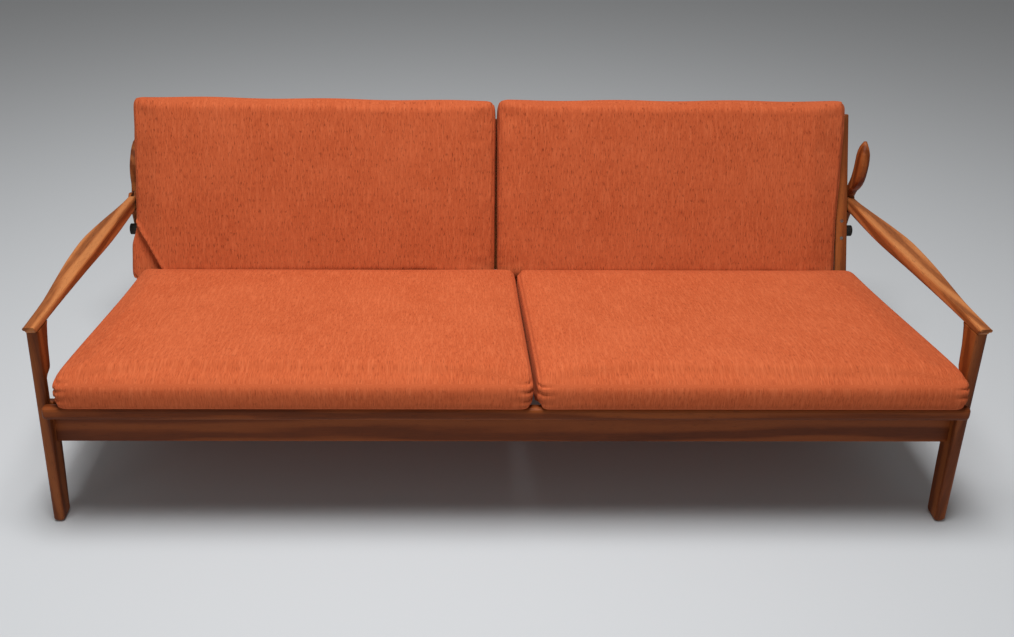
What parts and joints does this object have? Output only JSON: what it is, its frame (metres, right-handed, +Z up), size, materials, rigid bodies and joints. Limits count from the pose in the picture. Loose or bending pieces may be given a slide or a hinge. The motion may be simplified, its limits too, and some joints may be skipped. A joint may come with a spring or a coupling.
{
  "type": "sofa with wooden legs",
  "caption": "Long sofa with sculpted wooden end frames and loose cushions; the seat slides forward and the hinged back folds flat to make a bed.",
  "frame": {"origin": "on the floor at the middle of the sofa's length and depth, as it stands with the seat in", "axes": "+Z up; +X along the length, to the right as seen from the front; the sitter faces -Y"},
  "size_m": [2.0472, 0.9337, 0.7357],
  "materials": {
    "oiled_teak": "oiled hardwood, satin, orange-brown with darker figure",
    "stained_beech": "plain stained hardwood, matte, hidden pieces",
    "rust_chenille": "slubby rust-orange upholstery cloth, matte, ribs front to back on the seat and upright on the back",
    "rubber_webbing": "dark woven rubber strap, matte",
    "nylon_glide": "off-white nylon, smooth",
    "zinc_plated_steel": "dull zinc plate",
    "dark_rubber": "black rubber, matte"
  },
  "bodies": {
    "frame": {"arm_left": "oiled_teak", "arm_right": "oiled_teak", "front_leg_left": "oiled_teak", "front_leg_right": "oiled_teak", "rear_leg_left": "oiled_teak", "rear_leg_right": "oiled_teak", "side_rail_left": "oiled_teak", "side_rail_right": "oiled_teak", "front_apron": "oiled_teak", "rear_apron": "oiled_teak", "runner_left": "stained_beech", "runner_right": "stained_beech", "rest_block_left": "stained_beech", "rest_block_right": "stained_beech", "runner_glide_left": "nylon_glide", "runner_glide_right": "nylon_glide", "lever_pin_left": "zinc_plated_steel", "lever_pin_right": "zinc_plated_steel"},
    "seat": {"seat_front_bar": "oiled_teak", "seat_rear_rail": "stained_beech", "seat_side_rail_left": "stained_beech", "seat_glide_left": "nylon_glide", "seat_cushion_left": "rust_chenille", "hinge_seat_leaf_left": "zinc_plated_steel", "hinge_pin_left": "zinc_plated_steel", "seat_side_rail_right": "stained_beech", "seat_glide_right": "nylon_glide", "seat_cushion_right": "rust_chenille", "hinge_seat_leaf_right": "zinc_plated_steel", "hinge_pin_right": "zinc_plated_steel", "seat_strap_1": "rubber_webbing", "seat_strap_2": "rubber_webbing", "seat_strap_3": "rubber_webbing", "seat_strap_4": "rubber_webbing", "seat_strap_5": "rubber_webbing", "seat_strap_6": "rubber_webbing", "seat_strap_7": "rubber_webbing"},
    "back": {"back_bottom_rail": "oiled_teak", "back_top_rail": "oiled_teak", "back_slat_1": "oiled_teak", "back_slat_2": "oiled_teak", "back_slat_3": "oiled_teak", "back_slat_4": "oiled_teak", "back_slat_5": "oiled_teak", "back_slat_6": "oiled_teak", "back_slat_7": "oiled_teak", "back_stile_left": "oiled_teak", "stop_peg_left": "dark_rubber", "stile_screw_lower_left": "zinc_plated_steel", "stile_screw_upper_left": "zinc_plated_steel", "back_cushion_left": "rust_chenille", "hinge_back_leaf_left": "zinc_plated_steel", "back_stile_right": "oiled_teak", "stop_peg_right": "dark_rubber", "stile_screw_lower_right": "zinc_plated_steel", "stile_screw_upper_right": "zinc_plated_steel", "back_cushion_right": "rust_chenille", "hinge_back_leaf_right": "zinc_plated_steel"},
    "left_lever": {"lever_left": "oiled_teak"},
    "right_lever": {"lever_right": "oiled_teak"}
  },
  "joints": [
    {"name": "seat_slide", "type": "slide", "parent": "frame", "child": "seat", "axis": [0, -0.9936, 0.1132], "range_m": [0, 0.42]},
    {"name": "back_fold", "type": "hinge", "parent": "seat", "child": "back", "pos_m": [0, 0.25055, 0.22804], "axis": [-1, 0, 0], "range_deg": [0, 68.5]},
    {"name": "left_lever_turn", "type": "hinge", "parent": "frame", "child": "left_lever", "pos_m": [-0.974, 0.3305, 0.4545], "axis": [-1, 0, 0], "range_deg": [-50, 5]},
    {"name": "right_lever_turn", "type": "hinge", "parent": "frame", "child": "right_lever", "pos_m": [0.974, 0.3305, 0.4545], "axis": [-1, 0, 0], "range_deg": [0, 55]}
  ],
  "couplings": [
    {"joint": "back_fold", "follows": "seat_slide", "rad_per_m": 2.846}
  ]
}
